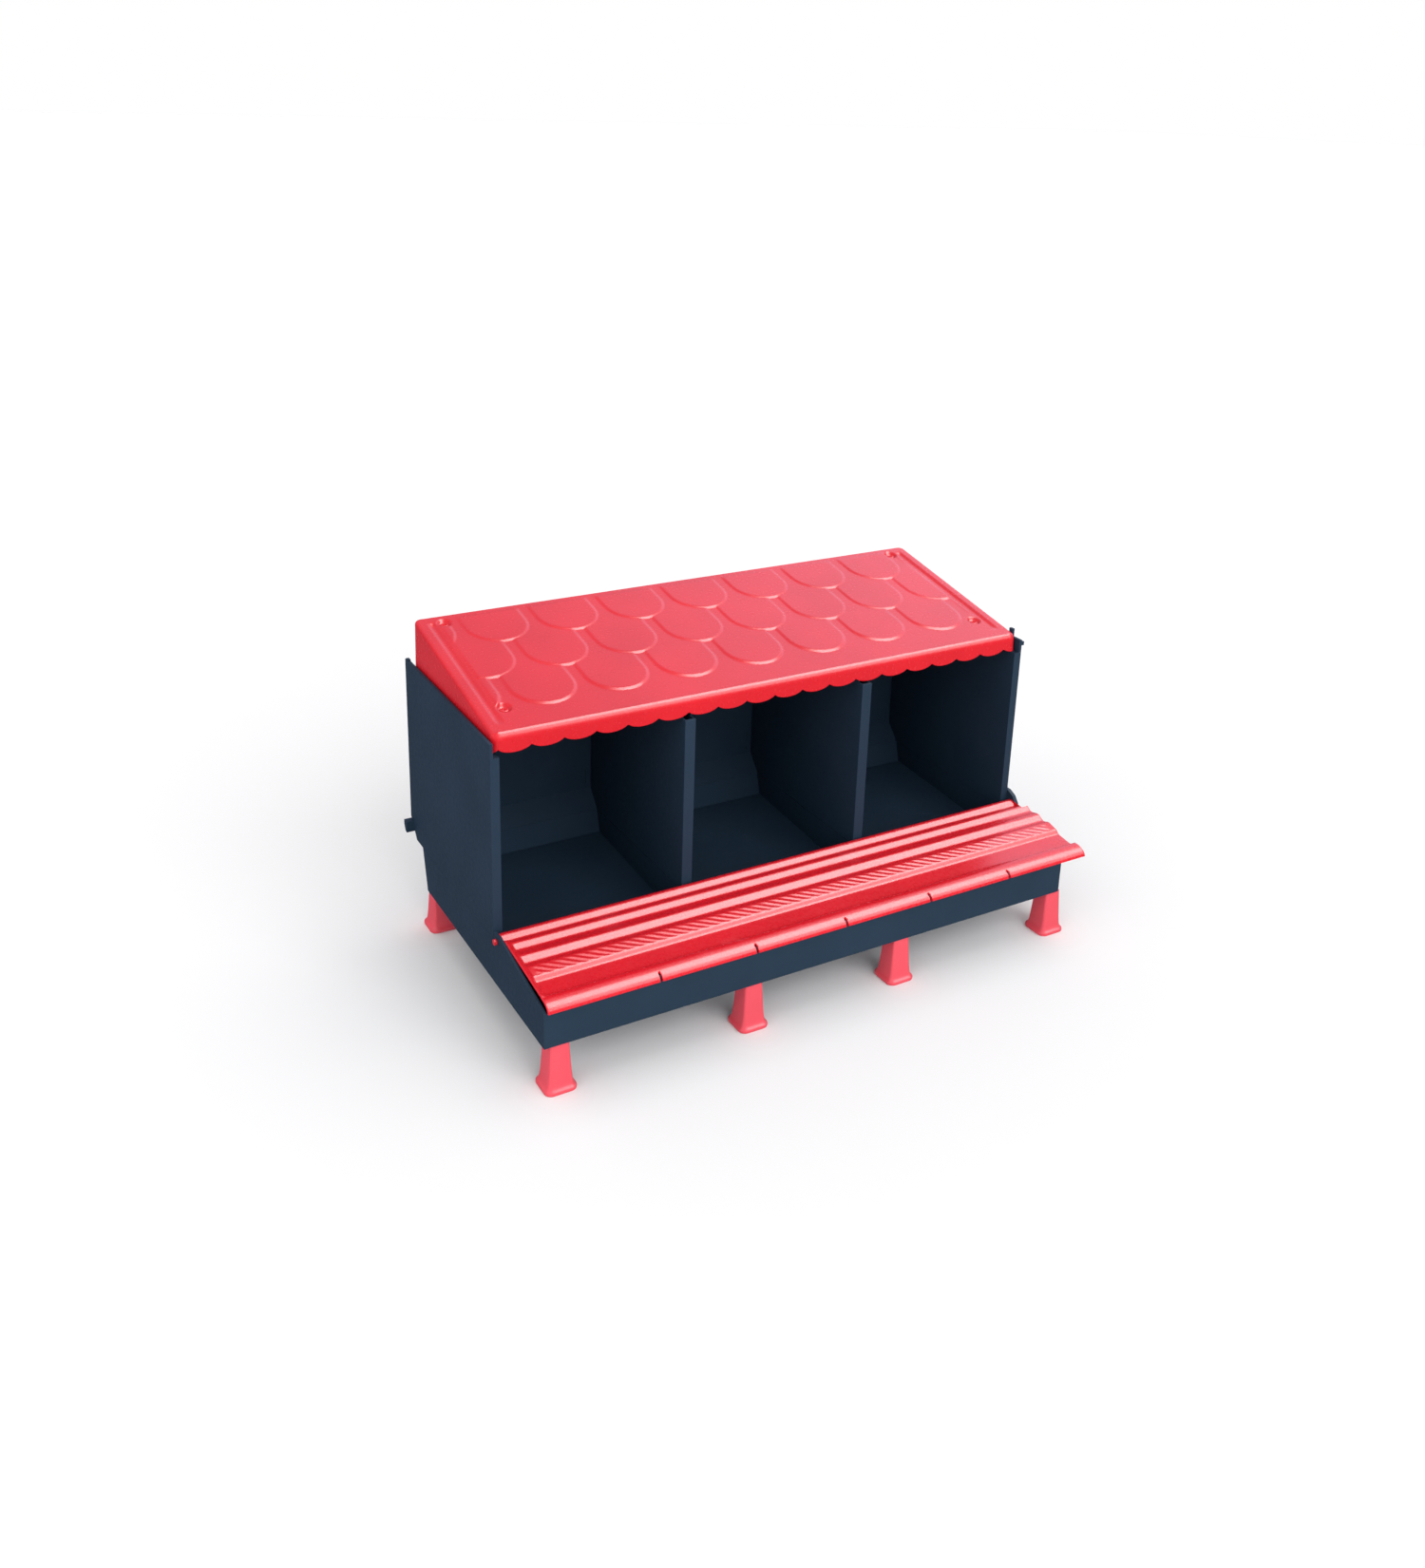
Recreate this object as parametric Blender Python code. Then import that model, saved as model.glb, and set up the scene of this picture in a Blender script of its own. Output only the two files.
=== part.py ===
"""Three-nest laying box for hens: moulded tray with a front egg trough, hinged ribbed trough
cover, lift-off tiled roof, two side panels, two dividers, three back panels and eight feet.

Units are metres, +Z up, the nests open towards -Y. Every piece is drawn in the body frame:
X = 0 midway between the side panels, Y = 0 at their front edges, Z = 0 at the tray's lower edge.
The empty `nesting_box` moves that frame so that the world origin is on the ground under the
middle of the object.
"""

import math

import bmesh
import bpy
from mathutils import Matrix

# ---------------------------------------------------------------- driving dimensions
BODY_WIDTH = 0.960          # over the outer faces of the two side panels
BODY_DEPTH = 0.362          # side panel, front edge to rear edge
TROUGH_DEPTH = 0.182        # from the panels' front edges to the trough's front face
TRAY_HEIGHT = 0.0692        # rim that the panels stand on
TROUGH_HEIGHT = 0.055       # trough's front wall
PANEL_TOP = 0.378           # top edge of a side panel
LEDGE = 0.3555              # top of a side panel's full thickness, under the roof's skirt
RIM_THICKNESS = 0.0048      # rim of a side panel beside the roof's skirt
PANEL_HEEL = 0.336          # where a side panel's rear edge starts to slant, at its foot
FOOT_HEIGHT = 0.0755
SIDE_THICKNESS = 0.014
DIVIDER_THICKNESS = 0.018
DIVIDER_X = 0.1612          # middle of each divider, either side of centre
SKIN = 0.003                # moulded wall thickness
GAP = 0.0003                # between pieces that rest on each other
OVERSHOOT = 0.02            # how far a cutter runs past what it cuts

HALF_WIDTH = BODY_WIDTH / 2
INNER_X = HALF_WIDTH - SIDE_THICKNESS
PANEL_BOTTOM = TRAY_HEIGHT + GAP

# tray
TRAY_REAR_BOTTOM = 0.289    # rear wall leans back as it rises
TRAY_REAR_TOP = 0.307
TROUGH_RIGHT = 0.445        # the trough stops short of the right side panel
CHEEK_THICKNESS = 0.0042
RIDGE_FRONT = -0.020        # ridges under the dividers reach this far into the trough
FLOOR_REAR = 0.031          # nest floor height at its rear edge
FLOOR_FRONT = 0.014         # nest floor height at Y = 0
TROUGH_FLOOR = 0.009        # trough floor height at the front wall

# back panels
BACK_FACE = 0.3305          # inner face
BACK_BEND = 0.0995          # below this height the panel leans forward
BACK_FOOT = 0.3040          # inner face where it meets the tray's rim

# roof
ROOF_HALF_WIDTH = 0.4735
ROOF_FRONT = 0.006
ROOF_REAR = 0.340
ROOF_FRONT_TOP = 0.3855
ROOF_SLOPE = 0.1945         # rise per metre of depth, 11 degrees
FASCIA_BOTTOM = 0.357       # tips of the scallops
REAR_SKIRT_BOTTOM = 0.366
SCALLOP_PITCH = 0.0506
SCALLOP_FIRST = -0.4397     # middle of the leftmost scallop
SCALLOP_HEIGHT = 0.0075
SCALLOP_STEPS = 6

# pegs that hold the roof at its four corners
PEG_X = 0.430
PEG_ROWS = {"front": 0.070, "rear": 0.316}
DIMPLE_RADIUS = 0.010
DIMPLE_DEPTH = 0.006
CUP_RADIUS = 0.0125
PEG_SHANK = 0.0025
PEG_HEAD = 0.0075
PEG_HOLE = 0.0031
POST_HALF = 0.0075
POST_ARM_BOTTOM = 0.344
POST_ARM_TOP = 0.353

# trough cover and its hinge
HINGE_Y = -0.0125
HINGE_Z = 0.0735
KNUCKLE_RADIUS = 0.0105
PIN_RADIUS = 0.0022
PIN_HOLE = 0.0026
PIN_DEPTH = 0.022           # how far a pin reaches into the cover
COVER_LEFT = -0.4755
COVER_RIGHT = 0.4925        # right end of the plate, which passes in front of the right ear
KNUCKLE_RIGHT = 0.4795      # right end of the rolled rear edge
EAR_CLEARANCE = 0.028       # the plate beyond the knuckle starts this far forward of the hinge
LIP_FRONT = 0.1745          # front of the lip, forward of the hinge axis
LIP_BOTTOM = 0.0560
NOTCH_COUNT = 5
NOTCH_FIRST = -0.3025       # middle of the leftmost notch
NOTCH_PITCH = 0.1583
NOTCH_HALF = 0.002
NOTCH_DEPTH = 0.010
TAB_HALF = 0.0012
TAB_HEIGHT = 0.0075
PIN_HEAD_RADIUS = 0.0045
PIN_HEAD_LENGTH = 0.0048

# ear on the right panel's front edge, which carries the cover's right pin
EAR_INNER = 0.4798
EAR_OUTER = 0.4865
EAR_TOP = 0.0975
EAR_BOTTOM = 0.0625
EAR_REACH = 0.0235          # how far the ear stands out in front of the panel's edge

# small connectors on the side panels' outer edges
LUG_OUTER = 0.4925
KNOB_TOP = 0.3915

# feet
FOOT_X = (-0.455, -0.1435, 0.1255, 0.437)
FOOT_FRONT_Y = -0.165
FOOT_REAR_Y = 0.300
FOOT_BASE = 0.0245          # half widths
FOOT_NECK = 0.0185
FOOT_TOP = 0.0140
SPIGOT = 0.0080
SPIGOT_HEIGHT = 0.0042
PAD = 0.0165
REAR_PAD_HEIGHT = 0.016     # rear feet stand under lugs behind the tray's rear wall

FRONT_REACH = FOOT_BASE - FOOT_FRONT_Y      # the front feet reach furthest forward
WORLD_OFFSET = (0.0, (FRONT_REACH - BODY_DEPTH) / 2, FOOT_HEIGHT)

RED = (0.80, 0.035, 0.045, 1.0)
FOOT_RED = (0.84, 0.09, 0.12, 1.0)
NAVY = (0.028, 0.048, 0.075, 1.0)


# ---------------------------------------------------------------- modelling helpers
def new_object(name, mesh):
    """Links a mesh to the scene as one object."""
    piece = bpy.data.objects.new(name, mesh)
    bpy.context.scene.collection.objects.link(piece)
    return piece


def prism(name, outline, low, high, axis="X"):
    """Extrudes an outline along X (outline in Y, Z), along Y (X, Z) or along Z (X, Y)."""
    place = {
        "X": lambda a, b, t: (t, a, b),
        "Y": lambda a, b, t: (a, t, b),
        "Z": lambda a, b, t: (a, b, t),
    }[axis]
    mesh = bpy.data.meshes.new(name)
    work = bmesh.new()
    near = [work.verts.new(place(a, b, low)) for a, b in outline]
    far = [work.verts.new(place(a, b, high)) for a, b in outline]
    work.faces.new(near)
    work.faces.new(list(reversed(far)))
    count = len(outline)
    for i in range(count):
        j = (i + 1) % count
        work.faces.new((near[j], near[i], far[i], far[j]))
    bmesh.ops.recalc_face_normals(work, faces=work.faces)
    work.to_mesh(mesh)
    work.free()
    return new_object(name, mesh)


def block(name, x, y, z):
    """A box from three (low, high) pairs."""
    outline = [(y[0], z[0]), (y[1], z[0]), (y[1], z[1]), (y[0], z[1])]
    return prism(name, outline, x[0], x[1])


def circle(centre, radius, steps=24):
    """Points round a circle."""
    return [
        (
            centre[0] + radius * math.cos(2 * math.pi * i / steps),
            centre[1] + radius * math.sin(2 * math.pi * i / steps),
        )
        for i in range(steps)
    ]


def combine(piece, tool, operation):
    """Cuts, or joins on, another solid, and removes the tool."""
    modifier = piece.modifiers.new(operation.lower(), "BOOLEAN")
    modifier.operation = operation
    modifier.object = tool
    bpy.context.view_layer.update()
    graph = bpy.context.evaluated_depsgraph_get()
    mesh = bpy.data.meshes.new_from_object(piece.evaluated_get(graph))
    piece.modifiers.clear()
    piece.data = mesh
    bpy.data.objects.remove(tool)
    return piece


def cut(piece, *tools):
    """Subtracts each tool in turn."""
    for tool in tools:
        combine(piece, tool, "DIFFERENCE")
    return piece


def join(piece, *tools):
    """Adds each tool in turn."""
    for tool in tools:
        combine(piece, tool, "UNION")
    return piece


def finish(piece, colour, roughness, parent):
    """Gives a piece its own material, shades it and hangs it on the body frame."""
    material = bpy.data.materials.new(piece.name + "_plastic")
    material.use_nodes = True
    shader = material.node_tree.nodes["Principled BSDF"]
    shader.inputs["Base Color"].default_value = colour
    shader.inputs["Roughness"].default_value = roughness
    shader.inputs["Metallic"].default_value = 0.0
    piece.data.materials.clear()
    piece.data.materials.append(material)
    piece.data.shade_smooth()
    piece.data.set_sharp_from_angle(angle=math.radians(35))
    piece.parent = parent
    return piece


def move_origin(piece, point):
    """Puts the object's origin at a point of the body frame without moving its shape."""
    piece.data.transform(Matrix.Translation([-c for c in point]))
    piece.location = point


def roof_height(y):
    """Height of the roof's top surface above the body frame."""
    return ROOF_FRONT_TOP + (y - ROOF_FRONT) * ROOF_SLOPE


def floor_height(y):
    """Height of the tray's floor: nest floor behind Y = 0, trough floor in front of it."""
    if y >= 0:
        return FLOOR_FRONT + (FLOOR_REAR - FLOOR_FRONT) * y / TRAY_REAR_BOTTOM
    return FLOOR_FRONT + (FLOOR_FRONT - TROUGH_FLOOR) * y / TROUGH_DEPTH


# ---------------------------------------------------------------- tray
def tray_shell():
    """Skirted tray: leaning rear wall, low trough in front, tall cheek at the left end."""
    outer = [
        (-TROUGH_DEPTH, 0.0),
        (TRAY_REAR_BOTTOM, 0.0),
        (TRAY_REAR_TOP, TRAY_HEIGHT),
        (0.0, TRAY_HEIGHT),
        (0.0, TROUGH_HEIGHT),
        (-TROUGH_DEPTH, TROUGH_HEIGHT),
    ]
    tray = prism("base_tray", outer, -HALF_WIDTH, HALF_WIDTH)
    cut(tray, block("corner", (TROUGH_RIGHT, 1), (-1, -0.030), (-OVERSHOOT, 1)))
    ear_top = HINGE_Z + 0.011
    cheek = [
        (-TROUGH_DEPTH, 0.02),
        (-0.001, 0.02),
        (-0.001, ear_top),
        (-0.024, ear_top),
        (-TROUGH_DEPTH, TROUGH_HEIGHT + 0.0015),
    ]
    join(tray, prism("cheek", cheek, -HALF_WIDTH, -HALF_WIDTH + CHEEK_THICKNESS))
    return tray


def open_top(tray):
    """Hollows the trough and the three nest floors from above."""
    high = TRAY_HEIGHT + OVERSHOOT
    inner_front = -TROUGH_DEPTH + SKIN
    trough = [
        (inner_front, floor_height(inner_front)),
        (RIDGE_FRONT, floor_height(RIDGE_FRONT)),
        (RIDGE_FRONT, high),
        (inner_front, high),
    ]
    cut(tray, prism("trough", trough, -HALF_WIDTH + CHEEK_THICKNESS, TROUGH_RIGHT - SKIN))
    lean = (TRAY_REAR_TOP - TRAY_REAR_BOTTOM) / TRAY_HEIGHT
    rear_low = TRAY_REAR_BOTTOM + lean * FLOOR_REAR - SKIN
    rear_high = TRAY_REAR_BOTTOM + lean * high - SKIN
    nest = [
        (RIDGE_FRONT - 0.001, floor_height(RIDGE_FRONT)),
        (0.0, floor_height(0.0)),
        (rear_low, floor_height(rear_low)),
        (rear_high, high),
        (RIDGE_FRONT - 0.001, high),
    ]
    half = DIVIDER_THICKNESS / 2
    bays = (
        (-INNER_X, -DIVIDER_X - half),
        (-DIVIDER_X + half, DIVIDER_X - half),
        (DIVIDER_X + half, INNER_X),
    )
    for low, high_x in bays:
        cut(tray, prism("nest", nest, low, high_x))


def saddle_ridges(tray):
    """Lowers the front of each ridge so that the cover's knuckle just clears it."""
    half = DIVIDER_THICKNESS / 2 + 0.001
    top = HINGE_Z - KNUCKLE_RADIUS - 2 * GAP
    for x in (-DIVIDER_X, DIVIDER_X):
        cut(tray, block("saddle", (x - half, x + half), (RIDGE_FRONT - 0.005, -0.0005), (top, 1)))


def hollow_under(tray):
    """Leaves a skin under the floors, and hollows the rim walls and the ridges."""
    low = -OVERSHOOT
    rear = TRAY_REAR_BOTTOM - SKIN
    front = -TROUGH_DEPTH + SKIN
    right = TROUGH_RIGHT - SKIN
    split = -0.027
    under_nests = [
        (split - 0.001, low),
        (rear, low),
        (rear, floor_height(rear) - SKIN),
        (0.0, floor_height(0.0) - SKIN),
        (split - 0.001, floor_height(split) - SKIN),
    ]
    edge = HALF_WIDTH - SKIN
    cut(tray, prism("under_nests", under_nests, -edge, edge))
    under_trough = [
        (front, low),
        (split, low),
        (split, floor_height(split) - SKIN),
        (front, floor_height(front) - SKIN),
    ]
    cut(tray, prism("under_trough", under_trough, -edge, right))
    wall_mid = HALF_WIDTH - SIDE_THICKNESS / 2
    wall_half = SIDE_THICKNESS / 2 - SKIN
    rim = TRAY_HEIGHT - SKIN
    for x in (-wall_mid, wall_mid):
        cut(tray, block("rim_hollow", (x - wall_half, x + wall_half), (SKIN, 0.280), (low, rim)))
    ridge_half = DIVIDER_THICKNESS / 2 - SKIN
    for x in (-DIVIDER_X, DIVIDER_X):
        cut(tray, block("ridge_hollow", (x - ridge_half, x + ridge_half), (SKIN, 0.280), (low, rim)))


def foot_pads(tray):
    """Solid pads, in front under the floor and behind on the rear wall, each with a socket."""
    socket = SPIGOT + 0.0004
    for y in (FOOT_FRONT_Y, FOOT_REAR_Y):
        for x in FOOT_X:
            front = max(y - PAD, -TROUGH_DEPTH + 0.001)
            top = floor_height(y) - 0.001 if y < 0 else REAR_PAD_HEIGHT
            right = min(x + PAD, TROUGH_RIGHT - 0.001 if y < 0 else HALF_WIDTH)
            join(tray, block("pad", (x - PAD, right), (front, y + PAD), (0.0, top)))
            cut(
                tray,
                block(
                    "socket",
                    (x - socket, x + socket),
                    (y - socket, y + socket),
                    (-OVERSHOOT, SPIGOT_HEIGHT + 0.0004),
                ),
            )


def rim_tabs(tray):
    """Small tabs on the trough's front wall that stand in the notches of the cover's lip."""
    for x in notch_positions():
        tab = block(
            "tab",
            (x - TAB_HALF, x + TAB_HALF),
            (-TROUGH_DEPTH, -TROUGH_DEPTH + SKIN),
            (TROUGH_HEIGHT - 0.005, TROUGH_HEIGHT + TAB_HEIGHT),
        )
        join(tray, tab)


def notch_positions():
    """Middles of the notches in the cover's lip."""
    return [NOTCH_FIRST + NOTCH_PITCH * i for i in range(NOTCH_COUNT)]


def build_tray(frame):
    tray = tray_shell()
    open_top(tray)
    saddle_ridges(tray)
    hollow_under(tray)
    foot_pads(tray)
    rim_tabs(tray)
    bore = prism("bore", circle((HINGE_Y, HINGE_Z), PIN_HOLE), -1, -HALF_WIDTH + 0.02)
    cut(tray, bore)
    finish(tray, NAVY, 0.45, frame)


# ---------------------------------------------------------------- upright panels
def inset_outline(outline, amount):
    """Moves each side of a convex outline, given anticlockwise, inwards by an amount."""
    count = len(outline)
    lines = []
    for i in range(count):
        (a, b), (c, d) = outline[i], outline[(i + 1) % count]
        length = math.hypot(c - a, d - b)
        normal = (-(d - b) / length, (c - a) / length)
        lines.append((normal, normal[0] * a + normal[1] * b + amount))
    corners = []
    for i in range(count):
        (n1, k1), (n2, k2) = lines[i - 1], lines[i]
        det = n1[0] * n2[1] - n1[1] * n2[0]
        corners.append(((k1 * n2[1] - k2 * n1[1]) / det, (n1[0] * k2 - n2[0] * k1) / det))
    return corners


def hollow_board(name, outline, low, high):
    """A double-skinned board with this side outline, open along its bottom edge."""
    board = prism(name, outline, low, high)
    inner = inset_outline(outline, SKIN)
    bottom = min(z for _, z in outline)
    floor = min(z for _, z in inner)
    inner = [(y, bottom - OVERSHOOT if abs(z - floor) < GAP else z) for y, z in inner]
    cut(board, prism("hollow", inner, low + SKIN, high - SKIN))
    return board


def roof_post(y, side):
    """Arm and post inside a side panel that hold one corner of the roof."""
    top = roof_height(y) - DIMPLE_DEPTH - SKIN - GAP
    inner = INNER_X + 0.0005
    reach = sorted((side * (PEG_X - POST_HALF), side * inner))
    wide = sorted((side * (PEG_X - POST_HALF), side * (PEG_X + POST_HALF)))
    rows = (y - POST_HALF, y + POST_HALF)
    post = block("arm", reach, rows, (POST_ARM_BOTTOM, POST_ARM_TOP))
    join(post, block("post", wide, rows, (POST_ARM_TOP - 0.002, top)))
    hole = prism("hole", circle((side * PEG_X, y), PEG_HOLE, 16), top - 0.014, 1, axis="Z")
    return cut(post, hole)


def right_connectors():
    """Knob, prong and hinge ear at the front edge of the right panel."""
    rim = HALF_WIDTH - RIM_THICKNESS
    knob = block("knob", (rim, HALF_WIDTH), (0.021, 0.029), (PANEL_TOP - 0.004, KNOB_TOP))
    prong = block("prong", (HALF_WIDTH - 0.002, 0.4905), (0.006, 0.012), (0.3650, 0.3715))
    bridge = block("bridge", (HALF_WIDTH - 0.002, EAR_OUTER), (0.002, 0.013), (0.078, EAR_TOP))
    reach = [
        (0.013, EAR_TOP),
        (-0.002, EAR_TOP),
        (-0.0145, 0.0915),
        (-EAR_REACH, 0.080),
        (-EAR_REACH, EAR_BOTTOM + 0.004),
        (-EAR_REACH + 0.005, EAR_BOTTOM),
        (-0.0012, EAR_BOTTOM),
        (-0.0008, PANEL_BOTTOM + 0.001),
        (0.013, PANEL_BOTTOM + 0.006),
    ]
    ear = prism("ear", reach, EAR_INNER, EAR_OUTER)
    return [knob, prong, bridge, ear]


def left_connectors():
    """Low knob and a wedge-shaped lug at the rear edge of the left panel."""
    rim = HALF_WIDTH - RIM_THICKNESS
    rear = BODY_DEPTH
    knob = block("knob", (-HALF_WIDTH, -rim), (rear - 0.013, rear - 0.004), (PANEL_TOP - 0.004, 0.3805))
    wedge = [
        (rear - 0.014, 0.080),
        (rear - 0.007, 0.080),
        (rear - 0.001, 0.090),
        (rear - 0.001, 0.0985),
        (rear - 0.014, 0.0985),
    ]
    return [knob, prism("lug", wedge, -LUG_OUTER, -HALF_WIDTH + 0.002)]


def build_side_panel(name, side, frame):
    """side is -1 for the left panel and +1 for the right one."""
    outline = [
        (0.0, PANEL_BOTTOM),
        (PANEL_HEEL, PANEL_BOTTOM),
        (BODY_DEPTH, 0.102),
        (BODY_DEPTH, LEDGE),
        (0.0, LEDGE),
    ]
    low, high = sorted((side * HALF_WIDTH, side * INNER_X))
    panel = hollow_board(name, outline, low, high)
    rim = sorted((side * (HALF_WIDTH - RIM_THICKNESS), side * HALF_WIDTH))
    join(panel, block("rim", rim, (0.0, BODY_DEPTH), (LEDGE - 0.002, PANEL_TOP)))
    batten = sorted((side * (INNER_X - 0.006), side * (INNER_X + 0.001)))
    batten_front = BACK_FACE + SKIN + GAP
    join(panel, block("batten", batten, (batten_front, batten_front + 0.005), (0.103, LEDGE - 0.001)))
    join(panel, *[roof_post(y, side) for y in PEG_ROWS.values()])
    if side < 0:
        join(panel, *left_connectors())
    else:
        join(panel, *right_connectors())
        bore = prism("bore", circle((HINGE_Y, HINGE_Z), PIN_HOLE), EAR_INNER - 0.01, 1)
        cut(panel, bore)
    finish(panel, NAVY, 0.45, frame)


def build_divider(name, x, frame):
    """Board between two nests; its top follows the roof and clears the roof's front wall."""
    clear = 0.0009
    step = ROOF_FRONT + SKIN + 0.0035
    rear = BACK_FACE - GAP
    heel = BACK_FOOT - 0.0004
    under_front = roof_height(step) - SKIN - clear
    under_rear = roof_height(rear) - SKIN - clear
    outline = [
        (0.0, PANEL_BOTTOM),
        (heel, PANEL_BOTTOM),
        (rear, BACK_BEND),
        (rear, under_rear),
        (step, under_front),
        (step, FASCIA_BOTTOM - 0.0025),
        (0.0, FASCIA_BOTTOM - 0.0025),
    ]
    half = DIVIDER_THICKNESS / 2
    divider = prism(name, outline, x - half, x + half)
    hollow = [
        (SKIN, 0.0),
        (heel - SKIN, 0.0),
        (heel - SKIN, PANEL_BOTTOM),
        (rear - SKIN, BACK_BEND + 0.002),
        (rear - SKIN, under_rear - 0.0045),
        (step + SKIN, under_front - 0.0035),
        (SKIN, FASCIA_BOTTOM - 0.006),
    ]
    cut(divider, prism("hollow", hollow, x - half + SKIN, x + half - SKIN))
    finish(divider, NAVY, 0.45, frame)


def build_back_panel(name, low, high, wall, frame):
    """Thin back wall of one nest, leaning forward at its foot to meet the tray's rear rim.

    It has one blind slot beside the nest's right-hand wall, whose face is at X = wall.
    """
    top = roof_height(BACK_FACE) - SKIN - 0.0015
    outline = [
        (BACK_FOOT, PANEL_BOTTOM),
        (BACK_FOOT + SKIN * 1.2, PANEL_BOTTOM),
        (BACK_FACE + SKIN, BACK_BEND - 0.001),
        (BACK_FACE + SKIN, top),
        (BACK_FACE, top),
        (BACK_FACE, BACK_BEND),
    ]
    panel = prism(name, outline, low, high)
    slot_x = wall - 0.011
    slot_half, slot_top, slot_bottom = 0.0022, 0.1345, 0.108
    half_turn = [math.pi * i / 6 for i in range(7)]
    slot = [(slot_x + slot_half * math.cos(a), slot_top + slot_half * math.sin(a)) for a in half_turn]
    slot += [(slot_x - slot_half * math.cos(a), slot_bottom - slot_half * math.sin(a)) for a in half_turn]
    cut(panel, prism("slot", slot, BACK_FACE - OVERSHOOT, BACK_FACE + SKIN / 2, axis="Y"))
    finish(panel, NAVY, 0.45, frame)


# ---------------------------------------------------------------- roof
def scallop_cutter():
    """Everything below the row of scallops along the roof's front wall."""
    cusp = FASCIA_BOTTOM + SCALLOP_HEIGHT
    first = SCALLOP_FIRST - SCALLOP_PITCH
    count = int(2 * ROOF_HALF_WIDTH / SCALLOP_PITCH) + 3
    line = []
    for i in range(count):
        middle = first + i * SCALLOP_PITCH
        for k in range(SCALLOP_STEPS):
            angle = math.pi * (1 - k / SCALLOP_STEPS)
            line.append(
                (
                    middle + SCALLOP_PITCH / 2 * math.cos(angle),
                    cusp - SCALLOP_HEIGHT * math.sin(angle),
                )
            )
    low = FASCIA_BOTTOM - OVERSHOOT
    outline = [(line[0][0], low)] + line + [(line[-1][0], low)]
    return prism("scallops", outline, ROOF_FRONT - 0.002, ROOF_FRONT + SKIN + 0.001, axis="Y")


def build_roof(frame):
    rise = SKIN * math.hypot(1, ROOF_SLOPE)
    outer = [
        (ROOF_FRONT, FASCIA_BOTTOM),
        (ROOF_REAR, REAR_SKIRT_BOTTOM),
        (ROOF_REAR, roof_height(ROOF_REAR)),
        (ROOF_FRONT, roof_height(ROOF_FRONT)),
    ]
    front, rear = ROOF_FRONT + SKIN, ROOF_REAR - SKIN
    inner = [
        (front, FASCIA_BOTTOM - OVERSHOOT),
        (rear, FASCIA_BOTTOM - OVERSHOOT),
        (rear, roof_height(rear) - rise),
        (front, roof_height(front) - rise),
    ]
    roof = prism("roof", outer, -ROOF_HALF_WIDTH, ROOF_HALF_WIDTH)
    cut(roof, prism("inside", inner, -ROOF_HALF_WIDTH + SKIN, ROOF_HALF_WIDTH - SKIN))
    cut(roof, scallop_cutter())
    for y in PEG_ROWS.values():
        top = roof_height(y)
        for x in (-PEG_X, PEG_X):
            cup_low = top - DIMPLE_DEPTH - SKIN
            cup = prism("cup", circle((x, y), CUP_RADIUS), cup_low, top - 0.003, axis="Z")
            join(roof, cup)
            dimple = circle((x, y), DIMPLE_RADIUS)
            cut(roof, prism("dimple", dimple, top - DIMPLE_DEPTH, top + 0.01, axis="Z"))
            hole = circle((x, y), PEG_HOLE, 16)
            cut(roof, prism("hole", hole, cup_low - 0.01, top, axis="Z"))
    finish(roof, RED, 0.22, frame)


def build_roof_peg(name, x, y, frame):
    """Push-in peg: flat head in the dimple, shank through the roof into a post."""
    seat = roof_height(y) - DIMPLE_DEPTH + GAP
    peg = prism(name, circle((x, y), PEG_HEAD, 20), seat, seat + 0.0028, axis="Z")
    join(peg, prism("shank", circle((x, y), PEG_SHANK, 16), seat - 0.014, seat + 0.001, axis="Z"))
    finish(peg, RED, 0.30, frame)


# ---------------------------------------------------------------- trough cover
def cover_top():
    """Upper surface of the cover as (distance forward of the hinge, height) knots."""
    return [
        (0.0000, HINGE_Z + KNUCKLE_RADIUS),
        (0.0125, 0.0745),
        (0.0255, 0.0835),
        (0.0400, 0.0710),
        (0.0560, 0.0800),
        (0.0730, 0.0670),
        (0.0880, 0.0755),
        (0.0970, 0.0755),
        (0.1110, 0.0610),
        (0.1390, 0.0590),
        (0.1510, 0.0690),
        (0.1560, 0.0690),
    ]


def smooth_line(knots, steps):
    """Joins knots with half-cosine ramps."""
    line = [knots[0]]
    for (u0, z0), (u1, z1) in zip(knots, knots[1:]):
        ramp = steps if abs(z1 - z0) > 0.003 else 1
        for k in range(1, ramp + 1):
            t = k / ramp
            line.append((u0 + (u1 - u0) * t, z0 + (z1 - z0) * (1 - math.cos(math.pi * t)) / 2))
    return line


def cover_outline():
    """Side outline: round knuckle about the hinge, ribbed top, and an even skin below it."""
    top = smooth_line(cover_top(), 4)
    under = [(u, z - SKIN) for u, z in top if u > KNUCKLE_RADIUS]
    lip = [
        (LIP_FRONT - 0.0080, 0.0665),
        (LIP_FRONT - 0.0020, 0.0625),
        (LIP_FRONT, LIP_BOTTOM),
        (LIP_FRONT - 0.0030, LIP_BOTTOM),
        (LIP_FRONT - 0.0045, 0.0610),
    ]
    points = [(HINGE_Y - u, z) for u, z in top + lip]
    points += [(HINGE_Y - u, z) for u, z in reversed(under)]
    steps = 12
    start, end = math.radians(250), math.radians(450)
    for i in range(1, steps):
        angle = start + (end - start) * i / steps
        points.append(
            (HINGE_Y + KNUCKLE_RADIUS * math.cos(angle), HINGE_Z + KNUCKLE_RADIUS * math.sin(angle))
        )
    return points


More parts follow.
